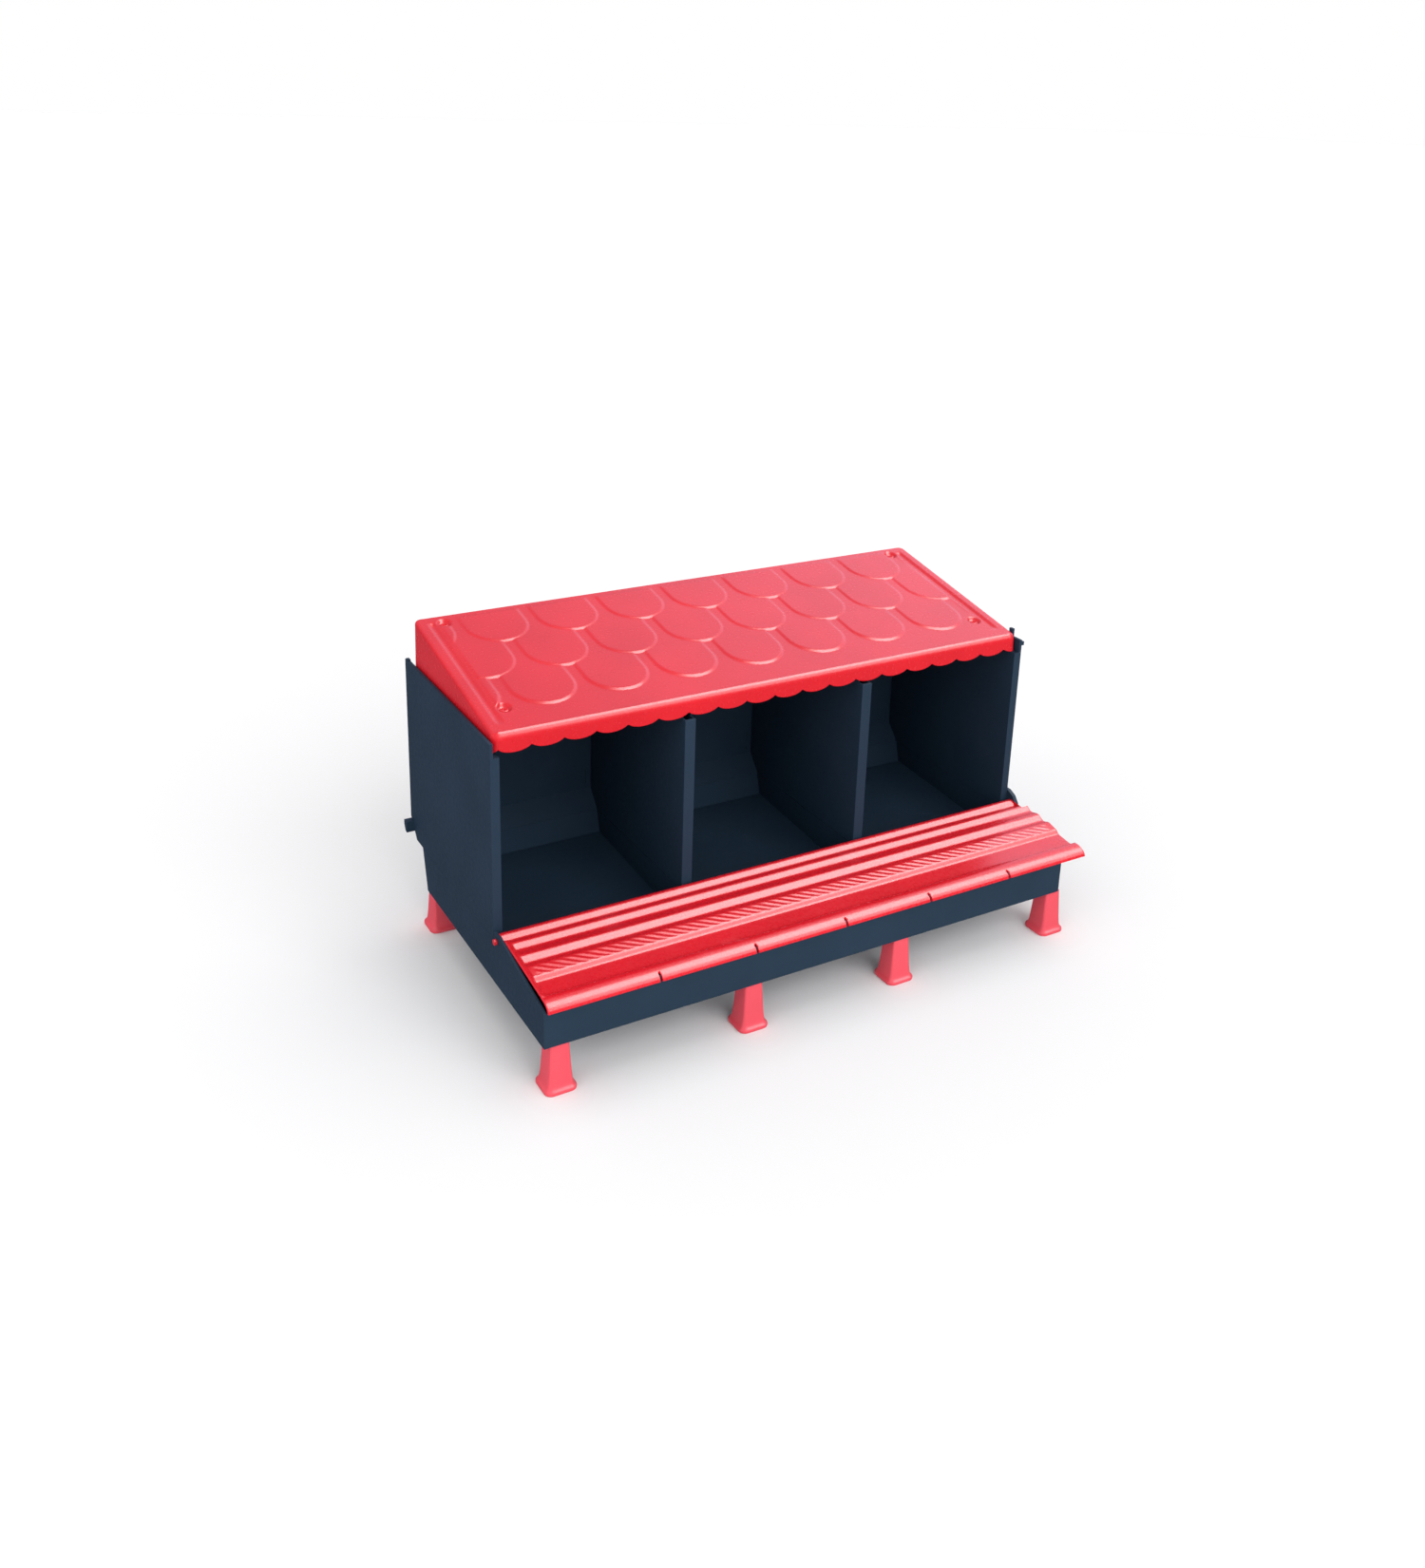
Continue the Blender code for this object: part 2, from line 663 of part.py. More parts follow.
def build_cover(frame):
    cover = prism("egg_cover", cover_outline(), COVER_LEFT, COVER_RIGHT)
    cut(cover, block("ear_room", (KNUCKLE_RIGHT, 1), (HINGE_Y - EAR_CLEARANCE, 1), (0, 1)))
    lip = HINGE_Y - LIP_FRONT
    for x in notch_positions():
        width = (x - NOTCH_HALF, x + NOTCH_HALF)
        cut(cover, block("notch", width, (lip - 0.01, lip + NOTCH_DEPTH), (0, 1)))
    ring = circle((HINGE_Y, HINGE_Z), PIN_HOLE)
    depth = PIN_DEPTH + 0.001
    cut(cover, prism("left_bore", ring, COVER_LEFT - 0.01, COVER_LEFT + depth))
    cut(cover, prism("right_bore", ring, KNUCKLE_RIGHT - depth, KNUCKLE_RIGHT + 0.01))
    finish(cover, RED, 0.22, frame)
    move_origin(cover, (0.0, HINGE_Y, HINGE_Z))


def build_hinge_pin(name, inner_end, seat, frame):
    """Pin whose head rests against the outer face at X = seat and whose shank runs inwards."""
    outward = math.copysign(1, seat)
    head_ends = sorted((seat + outward * GAP, seat + outward * PIN_HEAD_LENGTH))
    shank_ends = sorted((inner_end, seat + outward * PIN_HEAD_LENGTH / 2))
    pin = prism(name, circle((HINGE_Y, HINGE_Z), PIN_HEAD_RADIUS, 20), *head_ends)
    join(pin, prism("shank", circle((HINGE_Y, HINGE_Z), PIN_RADIUS, 20), *shank_ends))
    finish(pin, RED, 0.30, frame)


# ---------------------------------------------------------------- feet
def square_ring(work, half, z, rounding, steps=3):
    """A ring of vertices round a square with rounded corners."""
    radius = half * rounding
    ring = []
    for corner in range(4):
        centre_angle = math.radians(45 + 90 * corner)
        cx = (half - radius) * math.copysign(1, math.cos(centre_angle))
        cy = (half - radius) * math.copysign(1, math.sin(centre_angle))
        for k in range(steps + 1):
            angle = math.radians(90 * corner + 90 * k / steps)
            ring.append(work.verts.new((cx + radius * math.cos(angle), cy + radius * math.sin(angle), z)))
    return ring


def foot_mesh():
    """Square post that widens downwards to a flared base, with a spigot on top."""
    sections = (
        (FOOT_BASE, -FOOT_HEIGHT, 0.45),
        (FOOT_BASE, -FOOT_HEIGHT + 0.005, 0.45),
        (FOOT_NECK, -FOOT_HEIGHT + 0.011, 0.30),
        (FOOT_TOP, -GAP, 0.25),
        (SPIGOT, -GAP, 0.25),
        (SPIGOT, SPIGOT_HEIGHT - GAP, 0.25),
    )
    mesh = bpy.data.meshes.new("foot")
    work = bmesh.new()
    rings = [square_ring(work, half, z, rounding) for half, z, rounding in sections]
    work.faces.new(list(reversed(rings[0])))
    work.faces.new(rings[-1])
    for lower, upper in zip(rings, rings[1:]):
        count = len(lower)
        for i in range(count):
            j = (i + 1) % count
            work.faces.new((lower[i], lower[j], upper[j], upper[i]))
    bmesh.ops.recalc_face_normals(work, faces=work.faces)
    work.to_mesh(mesh)
    work.free()
    return mesh


def build_feet(frame):
    shape = foot_mesh()
    for row, y in (("front", FOOT_FRONT_Y), ("rear", FOOT_REAR_Y)):
        for number, x in enumerate(FOOT_X, start=1):
            foot = new_object(f"foot_{row}_{number}", shape.copy())
            foot.location = (x, y, 0.0)
            finish(foot, FOOT_RED, 0.35, frame)


# ---------------------------------------------------------------- assembly
def build():
    for leftover in list(bpy.data.objects):
        bpy.data.objects.remove(leftover)
    frame = bpy.data.objects.new("nesting_box", None)
    frame.location = WORLD_OFFSET
    bpy.context.scene.collection.objects.link(frame)

    build_tray(frame)
    build_side_panel("side_panel_left", -1, frame)
    build_side_panel("side_panel_right", 1, frame)
    build_divider("divider_left", -DIVIDER_X, frame)
    build_divider("divider_right", DIVIDER_X, frame)

    half = DIVIDER_THICKNESS / 2
    edge = INNER_X - GAP
    seam = DIVIDER_X - GAP / 2
    build_back_panel("back_panel_left", -edge, -seam - GAP, -DIVIDER_X - half, frame)
    build_back_panel("back_panel_centre", -seam, seam, DIVIDER_X - half, frame)
    build_back_panel("back_panel_right", seam + GAP, edge, INNER_X, frame)

    build_roof(frame)
    for row, y in PEG_ROWS.items():
        for side, x in (("left", -PEG_X), ("right", PEG_X)):
            build_roof_peg(f"roof_peg_{row}_{side}", x, y, frame)

    build_cover(frame)
    build_hinge_pin("hinge_pin_left", COVER_LEFT + PIN_DEPTH, -HALF_WIDTH, frame)
    build_hinge_pin("hinge_pin_right", KNUCKLE_RIGHT - PIN_DEPTH, EAR_OUTER, frame)
    build_feet(frame)
    bpy.context.view_layer.update()


build()
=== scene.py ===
import math

import bmesh
import bpy
import numpy as np
from mathutils import Matrix, Vector


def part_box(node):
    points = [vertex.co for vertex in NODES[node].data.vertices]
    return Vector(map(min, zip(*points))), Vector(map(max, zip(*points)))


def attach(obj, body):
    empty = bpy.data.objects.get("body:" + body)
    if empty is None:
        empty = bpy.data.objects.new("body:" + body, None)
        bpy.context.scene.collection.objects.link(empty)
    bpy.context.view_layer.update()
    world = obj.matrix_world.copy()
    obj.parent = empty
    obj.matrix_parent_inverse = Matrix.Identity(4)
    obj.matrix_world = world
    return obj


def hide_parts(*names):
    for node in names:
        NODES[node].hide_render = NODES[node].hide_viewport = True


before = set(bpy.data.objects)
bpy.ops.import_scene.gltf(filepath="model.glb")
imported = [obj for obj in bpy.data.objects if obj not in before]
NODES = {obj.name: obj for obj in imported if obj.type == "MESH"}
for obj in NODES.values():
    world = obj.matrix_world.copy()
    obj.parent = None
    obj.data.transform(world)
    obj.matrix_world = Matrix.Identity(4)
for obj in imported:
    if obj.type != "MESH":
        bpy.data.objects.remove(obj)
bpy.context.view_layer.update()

# Body frame: X = 0 midway between the side panels, Y = 0 at their front edges, Z = 0 at the
# tray's lower edge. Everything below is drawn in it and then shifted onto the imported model.
SHIFT = Vector((0.0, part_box("divider_left")[0].y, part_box("base_tray")[0].z))

# ---------------------------------------------------------------- dimensions, metres
ROOF_HALF_WIDTH = 0.4735
ROOF_FRONT = 0.006
ROOF_REAR = 0.340
ROOF_FRONT_TOP = 0.3855
ROOF_SLOPE = 0.1945
ROOF_DRAFT = 0.0014         # the skirt leans out this much from top to bottom
ROOF_CORNER = 0.0110        # corner radius seen from above
ROOF_SKIN = 0.0026
FASCIA_BOTTOM = 0.357
SCALLOP_PITCH = 0.0506
SCALLOP_FIRST = -0.4397
SCALLOP_HEIGHT = 0.0078

TILE_RADIUS = 0.0505
TILE_PITCH = 0.1205
TILE_HEIGHT = 0.0024
TILE_LENGTH = 0.150
TILE_ROWS = ((0.2885, 0.0065), (0.1970, 0.0667), (0.1095, 0.0065))
TILE_EDGE = 0.0044          # width over which a tile's edge steps down
CHANNEL_X = 0.4495          # groove along each side of the tile field
CHANNEL_HALF = 0.0048
CHANNEL_DEPTH = 0.0026

PEG_X = 0.430
PEG_ROWS = {"front": 0.070, "rear": 0.316}
DIMPLE_DEPTH = 0.006

HINGE_Y = -0.0125
HINGE_Z = 0.0735
KNUCKLE = 0.0105
COVER_LEFT = -0.4755
COVER_RIGHT = 0.4925        # right end of the plate, which passes in front of the right ear
KNUCKLE_RIGHT = 0.4795      # right end of the rolled rear edge
EAR_CLEARANCE = 0.028       # the plate beyond the knuckle starts this far forward of the hinge
COVER_SKIN = 0.0028
LIP_FRONT = 0.1745
LIP_BOTTOM = 0.0560
NOTCH_COUNT = 5
NOTCH_FIRST = -0.3025
NOTCH_PITCH = 0.1583
NOTCH_HALF = 0.0020
NOTCH_DEPTH = 0.010
SERRATION_PITCH = 0.0180
SERRATION_HEIGHT = 0.00032
END_RIM = 0.0105            # width of the raised rim at the cover's left end
RIB_SPANS = 10              # spans of the cover's path before its lip
LONGEST_RIB = 0.0165        # wider spans among them are flat

FOOT_X = (-0.455, -0.1435, 0.1255, 0.437)
FOOT_ROWS = {"front": -0.165, "rear": 0.300}
FOOT_HEIGHT = 0.0755
GAP = 0.0003

PANEL_ROUNDING = 0.0008     # edge radii of the carried-over pieces
PIN_ROUNDING = 0.0004
WELD_REACH = 0.00001
MERGE_REACH = 0.000002
FLAT_ANGLE = 2              # degrees: flatter joins between triangles are dissolved
EDGE_ANGLE = 32             # degrees: sharper edges are rounded
LATHE_STEPS = 40
CORNER_STEPS = 8

# ---------------------------------------------------------------- light and camera settings
WORLD_LEVEL = 0.74
# what the gloss sees of the surroundings
REFLECTED_SKY = (0.15, 0.72)            # low down, and high up
REFLECTED_RISE = (0.15, 0.60)           # heights between which it brightens
REFLECTED_TINT = (1.0, 0.95, 1.22)
BRIGHT_SIDE = ((0.80, 0.45, 0.40), 0.82, 1.3)   # direction, cosine at its edge, extra level
# each lamp is (name, direction towards it, energy, width in degrees, only in the gloss)
LAMPS = (
    ("overhead_softbox", (0.46, -0.06, 0.88), 3.4, 36, True),
    ("front_softbox", (0.48, -0.53, 0.70), 1.4, 36, True),
    ("overhead_light", (0.32, 0.16, 0.93), 0.4, 50, False),
    ("front_fill", (0.12, -0.78, 0.50), 1.5, 50, False),
    ("side_fill", (-0.85, -0.35, 0.35), 0.6, 60, False),
)
FLOOR_COLOUR = (0.88, 0.88, 0.888)
FLOOR_REACH = 60.0

CAMERA_AZIMUTH = -30.185
CAMERA_ELEVATION = 17.912
CAMERA_ROLL = 1.703
CAMERA_PLACE = Vector((-1.15328, -1.75657, 1.24213))
CAMERA_LENS = 33.74
CAMERA_SHIFT = -0.1364

# ---------------------------------------------------------------- mesh helpers
def smooth(t):
    """Smoothstep of a value or array."""
    t = np.clip(t, 0.0, 1.0)
    return t * t * (3 - 2 * t)


def roof_height(y):
    return ROOF_FRONT_TOP + (y - ROOF_FRONT) * ROOF_SLOPE


def make_object(name, points, faces, sharp=None):
    """Mesh object in the body frame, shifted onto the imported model."""
    mesh = bpy.data.meshes.new(name)
    mesh.from_pydata([tuple(p) for p in points], [], faces)
    mesh.transform(Matrix.Translation(SHIFT))
    mesh.validate()
    mesh.shade_smooth()
    if sharp is not None:
        mesh.set_sharp_from_angle(angle=math.radians(sharp))
    made = bpy.data.objects.new(name, mesh)
    bpy.context.scene.collection.objects.link(made)
    return made


def rings_to_faces(ring_count, ring_size):
    """Quads between closed rings of equal size, with the two ends capped."""
    faces = []
    for r in range(ring_count - 1):
        a, b = r * ring_size, (r + 1) * ring_size
        for i in range(ring_size):
            j = (i + 1) % ring_size
            faces.append((a + i, a + j, b + j, b + i))
    last = (ring_count - 1) * ring_size
    faces.append(tuple(reversed(range(ring_size))))
    faces.append(tuple(range(last, last + ring_size)))
    return faces


def clean_mesh(piece, sharp):
    """Merges gathered points, drops faces without area and turns every face outwards."""
    work = bmesh.new()
    work.from_mesh(piece.data)
    bmesh.ops.remove_doubles(work, verts=work.verts, dist=MERGE_REACH)
    bmesh.ops.dissolve_degenerate(work, edges=work.edges, dist=MERGE_REACH)
    bmesh.ops.recalc_face_normals(work, faces=work.faces)
    work.to_mesh(piece.data)
    work.free()
    piece.data.shade_smooth()
    piece.data.set_sharp_from_angle(angle=math.radians(sharp))


# ---------------------------------------------------------------- materials
def new_material(name, base, roughness, specular=0.5):
    material = bpy.data.materials.new(name)
    material.use_nodes = True
    tree = material.node_tree
    shader = tree.nodes["Principled BSDF"]
    shader.inputs["Base Color"].default_value = (*base, 1.0)
    shader.inputs["Roughness"].default_value = roughness
    shader.inputs["Specular IOR Level"].default_value = specular
    return material, tree, shader


def noise(tree, scale, detail, coordinates):
    node = tree.nodes.new("ShaderNodeTexNoise")
    node.inputs["Scale"].default_value = scale
    node.inputs["Detail"].default_value = detail
    tree.links.new(coordinates, node.inputs["Vector"])
    return node.outputs["Fac"]


def remap(tree, value, low, high, to_low, to_high):
    node = tree.nodes.new("ShaderNodeMapRange")
    node.inputs["From Min"].default_value = low
    node.inputs["From Max"].default_value = high
    node.inputs["To Min"].default_value = to_low
    node.inputs["To Max"].default_value = to_high
    tree.links.new(value, node.inputs["Value"])
    return node.outputs["Result"]


def mix_colour(tree, factor, low, high):
    node = tree.nodes.new("ShaderNodeMix")
    node.data_type = "RGBA"
    for socket, value in ((6, low), (7, high)):
        if isinstance(value, tuple):
            node.inputs[socket].default_value = (*value, 1.0)
        else:
            tree.links.new(value, node.inputs[socket])
    tree.links.new(factor, node.inputs[0])
    return node.outputs[2]


def moulded_plastic(name, base, roughness, grain, grain_height, wear, wear_amount, specular=0.5):
    """Injection-moulded plastic: faint flow clouds, mould grain, uneven gloss, rubbed patches."""
    material, tree, shader = new_material(name, base, roughness, specular)
    place = tree.nodes.new("ShaderNodeTexCoord").outputs["Object"]

    clouds = noise(tree, 9.0, 3.0, place)
    dark = tuple(c * 0.94 for c in base)
    light = tuple(min(c * 1.05 + 0.001, 1.0) for c in base)
    colour = mix_colour(tree, remap(tree, clouds, 0.3, 0.7, 0.0, 1.0), dark, light)

    handling = noise(tree, 14.0, 6.0, place)
    rubbed = remap(tree, handling, 0.60, 0.80, 0.0, wear_amount * 0.4)
    colour = mix_colour(tree, rubbed, colour, wear)
    tree.links.new(colour, shader.inputs["Base Color"])

    scuffs = noise(tree, 160.0, 4.0, place)
    rough = remap(tree, scuffs, 0.35, 0.70, roughness * 0.92, min(roughness * 1.10, 1.0))
    tree.links.new(rough, shader.inputs["Roughness"])

    fine = noise(tree, grain, 2.0, place)
    bump = tree.nodes.new("ShaderNodeBump")
    bump.inputs["Strength"].default_value = 1.0
    bump.inputs["Distance"].default_value = grain_height
    tree.links.new(fine, bump.inputs["Height"])
    tree.links.new(bump.outputs["Normal"], shader.inputs["Normal"])
    return material


ROOF_PLASTIC = moulded_plastic("roof_plastic", (0.66, 0.008, 0.017), 0.26, 900.0, 0.000004,
                               (0.76, 0.05, 0.07), 0.25, specular=0.46)
COVER_PLASTIC = moulded_plastic("cover_plastic", (0.72, 0.010, 0.022), 0.28, 900.0, 0.000004,
                                (0.88, 0.24, 0.30), 0.45, specular=0.50)
FOOT_PLASTIC = moulded_plastic("foot_plastic", (0.80, 0.075, 0.105), 0.34, 700.0, 0.00006,
                               (0.88, 0.20, 0.22), 0.30)
PIN_PLASTIC = moulded_plastic("pin_plastic", (0.72, 0.015, 0.028), 0.32, 900.0, 0.00004,
                              (0.84, 0.12, 0.14), 0.3)
NAVY_PLASTIC = moulded_plastic("navy_plastic", (0.018, 0.038, 0.065), 0.55, 620.0, 0.00003,
                               (0.045, 0.072, 0.105), 0.35, specular=0.12)


def dress(piece, material):
    piece.data.materials.clear()
    piece.data.materials.append(material)


# ---------------------------------------------------------------- roof
def tile_relief(x, y):
    """Height of the fish-scale tiles above the roof's plane."""
    height = np.zeros_like(x)
    for centre_y, first_x in TILE_ROWS:
        local = (x - first_x + TILE_PITCH / 2) % TILE_PITCH - TILE_PITCH / 2
        ahead = np.minimum(y - centre_y, 0.0)
        inside = TILE_RADIUS - np.hypot(local, ahead)
        mask = smooth(inside / TILE_EDGE + 0.5)
        along = (y - (centre_y - TILE_RADIUS)) / TILE_LENGTH
        wedge = TILE_HEIGHT * np.clip(1.0 - along, 0.0, 1.0)
        height = np.maximum(height, mask * wedge)
    side = smooth((CHANNEL_X - CHANNEL_HALF - 0.003 - np.abs(x)) / 0.006)
    rear = smooth((ROOF_REAR - 0.010 - y) / 0.008)
    return height * side * rear


def channel_relief(x, y):
    """Groove parallel to each side edge, closed at both ends."""
    across = 1 - smooth((np.abs(np.abs(x) - CHANNEL_X) - CHANNEL_HALF + 0.0025) / 0.0040)
    ends = smooth((y - 0.030) / 0.02) * smooth((ROOF_REAR - 0.016 - y) / 0.01)
    return -CHANNEL_DEPTH * across * ends


def dimple_relief(x, y):
    """Round recess at each corner for a peg's head."""
    depth = np.zeros_like(x)
    for peg_y in PEG_ROWS.values():
        reach = np.hypot(np.abs(x) - PEG_X, y - peg_y)
        depth = np.maximum(depth, 1 - smooth((reach - 0.0085) / 0.0030))
    return depth


def scallops(x):
    """Lower edge of the front fascia: a row of shallow arcs with soft cusps."""
    local = (x - SCALLOP_FIRST + SCALLOP_PITCH / 2) % SCALLOP_PITCH - SCALLOP_PITCH / 2
    t = np.abs(local) / (SCALLOP_PITCH / 2)
    arc = 1 - np.sqrt(np.clip(1 - (t * 0.94) ** 2, 0.0, 1.0))
    return FASCIA_BOTTOM + SCALLOP_HEIGHT * arc / (1 - math.sqrt(1 - 0.94 ** 2))


def side_bottom(y):
    """Lower edge of a side skirt, in two bays with a small step between them."""
    rear_bay = 0.3590 + 0.0075 * smooth((y - 0.235) / 0.10)
    front_bay = 0.3580 + 0.0065 * np.clip(y / 0.226, 0.0, 1.0)
    step = smooth((y - 0.226) / 0.007)
    return front_bay * (1 - step) + rear_bay * step


def build_roof():
    """One skin: tiled top, rounded edges and skirts, unfolded from a rectangular grid."""
    top_step, wall_rows, arc_rows = 0.0021, 14, 7
    core_x = ROOF_HALF_WIDTH - ROOF_DRAFT - ROOF_CORNER
    mid_y = (ROOF_FRONT + ROOF_REAR) / 2
    half_y = (ROOF_REAR - ROOF_FRONT) / 2
    core_y = half_y - ROOF_CORNER

    # distances past the core rectangle: 0..1 flat rim, 1..2 edge rounding, 2..3 skirt
    rim = np.linspace(0, 1, 6)[1:]
    arc = 1 + np.linspace(0, 1, arc_rows + 1)[1:]
    wall = 2 + np.linspace(0, 1, wall_rows + 1)[1:]
    past = np.concatenate([rim, arc, wall])

    def axis(core):
        count = int(round(2 * core / top_step))
        inner = np.linspace(-core, core, count + 1)
        place = np.concatenate([np.full(past.size, -core), inner, np.full(past.size, core)])
        reach = np.concatenate([-past[::-1], np.zeros(inner.size), past])
        return place, reach

    ax, rx = axis(core_x)
    ay, ry = axis(core_y)
    X, Y = np.meshgrid(ax, ay + mid_y, indexing="ij")
    RX, RY = np.meshgrid(rx, ry, indexing="ij")
    level = np.maximum(np.abs(RX), np.abs(RY))
    length = np.maximum(np.hypot(RX, RY), 1e-9)
    NX, NY = RX / length, RY / length

    # edge radius: larger along the front than along the sides and the back
    front = smooth(-NY)
    radius = 0.0050 + 0.0045 * front
    flat = ROOF_CORNER - radius
    angle = np.clip(level - 1, 0, 1) * math.pi / 2
    out = np.where(level <= 1, level * flat, flat + radius * np.sin(angle))
    drop = np.where(level <= 1, 0.0, radius * (1 - np.cos(angle)))
    t = np.clip(level - 2, 0, 1)
    lean = ROOF_DRAFT * np.abs(NX) * t
    PX = X + NX * out + np.sign(NX) * lean
    PY = Y + NY * out

    bottom_front = scallops(PX)
    bottom_side = side_bottom(PY)
    front_share = smooth((-NY - 0.45) / 0.35)
    rear_share = smooth((NY - 0.45) / 0.35)
    bottom = bottom_side * (1 - front_share - rear_share)
    bottom = bottom + bottom_front * front_share + 0.366 * rear_share

    plane = roof_height(PY)
    field = level <= 1
    fade = np.where(field, 1.0, 0.0)
    relief = (tile_relief(PX, PY) + channel_relief(PX, PY)) * fade
    bead = 0.0014 * front * np.where(level < 2, np.sin(np.clip(level, 0, 2) * math.pi / 2) ** 2, 0)
    dimple = dimple_relief(PX, PY)
    PZ = plane + relief * (1 - dimple) + bead - drop - dimple * (DIMPLE_DEPTH - 0.001) * fade
    PZ = PZ * (1 - t) + bottom * t

    nx, ny = PX.shape
    points = np.stack([PX, PY, PZ], axis=-1).reshape(-1, 3)
    index = np.arange(nx * ny).reshape(nx, ny)
    faces = np.stack(
        [index[:-1, :-1], index[1:, :-1], index[1:, 1:], index[:-1, 1:]], axis=-1
    ).reshape(-1, 4)
    roof = make_object("roof_shell", points, faces.tolist())
    solid = roof.modifiers.new("skin", "SOLIDIFY")
    solid.thickness = ROOF_SKIN
    solid.offset = -1.0
    dress(roof, ROOF_PLASTIC)
    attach(roof, "roof")
    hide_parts("roof")


def lathe(name, centre, profile):
    """Turned solid about a vertical axis; profile is (radius, height) from bottom to top."""
    x, y = centre
    points = []
    for radius, z in profile:
        for i in range(LATHE_STEPS):
            a = 2 * math.pi * i / LATHE_STEPS
            points.append((x + radius * math.cos(a), y + radius * math.sin(a), z))
    return make_object(name, points, rings_to_faces(len(profile), LATHE_STEPS), sharp=50)


def build_pegs():
    for row, y in PEG_ROWS.items():
        for side, x in (("left", -PEG_X), ("right", PEG_X)):
            seat = roof_height(y) - DIMPLE_DEPTH + GAP
            profile = [
                (0.0016, seat - 0.0140), (0.0024, seat - 0.0125), (0.0025, seat - 0.0005),
                (0.0028, seat), (0.0070, seat), (0.0074, seat + 0.0004), (0.0074, seat + 0.0016),
                (0.0069, seat + 0.0024), (0.0058, seat + 0.0028), (0.0040, seat + 0.0028),
                (0.0036, seat + 0.0022), (0.0034, seat + 0.0012), (0.0014, seat + 0.0010),
            ]
            peg = lathe(f"peg_{row}_{side}", (x, y), profile)
            dress(peg, PIN_PLASTIC)
            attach(peg, "roof")
            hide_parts(f"roof_peg_{row}_{side}")


# ---------------------------------------------------------------- trough cover
def cover_path():
    """Upper surface of the cover: (distance forward of the hinge, height), finely spaced."""
    knots = [
        (0.0000, HINGE_Z + KNUCKLE), (0.0135, 0.0775), (0.0255, 0.0825), (0.0400, 0.0762),
        (0.0560, 0.0795), (0.0715, 0.0728), (0.0840, 0.0765), (0.1010, 0.0722),
        (0.1110, 0.0655), (0.1390, 0.0620), (0.1500, 0.0690), (0.1560, 0.0692),
        (0.1640, 0.0672), (0.1705, 0.0635), (0.1740, 0.0595), (LIP_FRONT, LIP_BOTTOM),
    ]
    path = [knots[0]]
    for n, ((u0, z0), (u1, z1)) in enumerate(zip(knots, knots[1:])):
        wave = n < RIB_SPANS and u1 - u0 < LONGEST_RIB
        steps = 14 if wave else 5
        for k in range(1, steps + 1):
            t = k / steps
            blend = (1 - math.cos(math.pi * t)) / 2 if wave else t
            path.append((u0 + (u1 - u0) * t, z0 + (z1 - z0) * blend))
    path = np.array(path)
    for _ in range(3):
        inner = (path[:-2] + 2 * path[1:-1] + path[2:]) / 4
        path = np.concatenate([path[:1], inner, path[-1:]])
    return path


def resample(path, fractions):
    length = np.concatenate([[0], np.cumsum(np.hypot(*np.diff(path, axis=0).T))])
    at = fractions * length[-1]
    return np.stack([np.interp(at, length, path[:, k]) for k in (0, 1)], axis=-1)


def offset_path(path, distance):
    """Moves a path to its underside by a distance."""
    tangent = np.gradient(path, axis=0)
    tangent /= np.maximum(np.hypot(*tangent.T), 1e-12)[:, None]
    normal = np.stack([-tangent[:, 1], tangent[:, 0]], axis=-1)
    return path - normal * distance


def notch_positions():
    return [NOTCH_FIRST + NOTCH_PITCH * i for i in range(NOTCH_COUNT)]


def cover_columns():
    """X stations: evenly spaced, with close pairs at the notch sides and at the knuckle's end."""
    steps = [x + side * NOTCH_HALF for x in notch_positions() for side in (-1, 1)]
    steps.append(KNUCKLE_RIGHT)
    columns = np.linspace(COVER_LEFT + 0.0006, COVER_RIGHT - 0.0006, 640)
    columns = [x for x in columns if min(abs(x - step) for step in steps) > 0.0008]
    for step in steps:
        columns += [step - 0.0001, step + 0.0001]
    return sorted(columns)


def stop_at(points, limit, beyond):
    """Gathers the points past a distance from the hinge onto that distance."""
    order = np.argsort(points[:, 0])
    edge = np.array([limit, np.interp(limit, points[order, 0], points[order, 1])])
    past = points[:, 0] > limit if beyond else points[:, 0] < limit
    return np.where(past[:, None], edge, points)


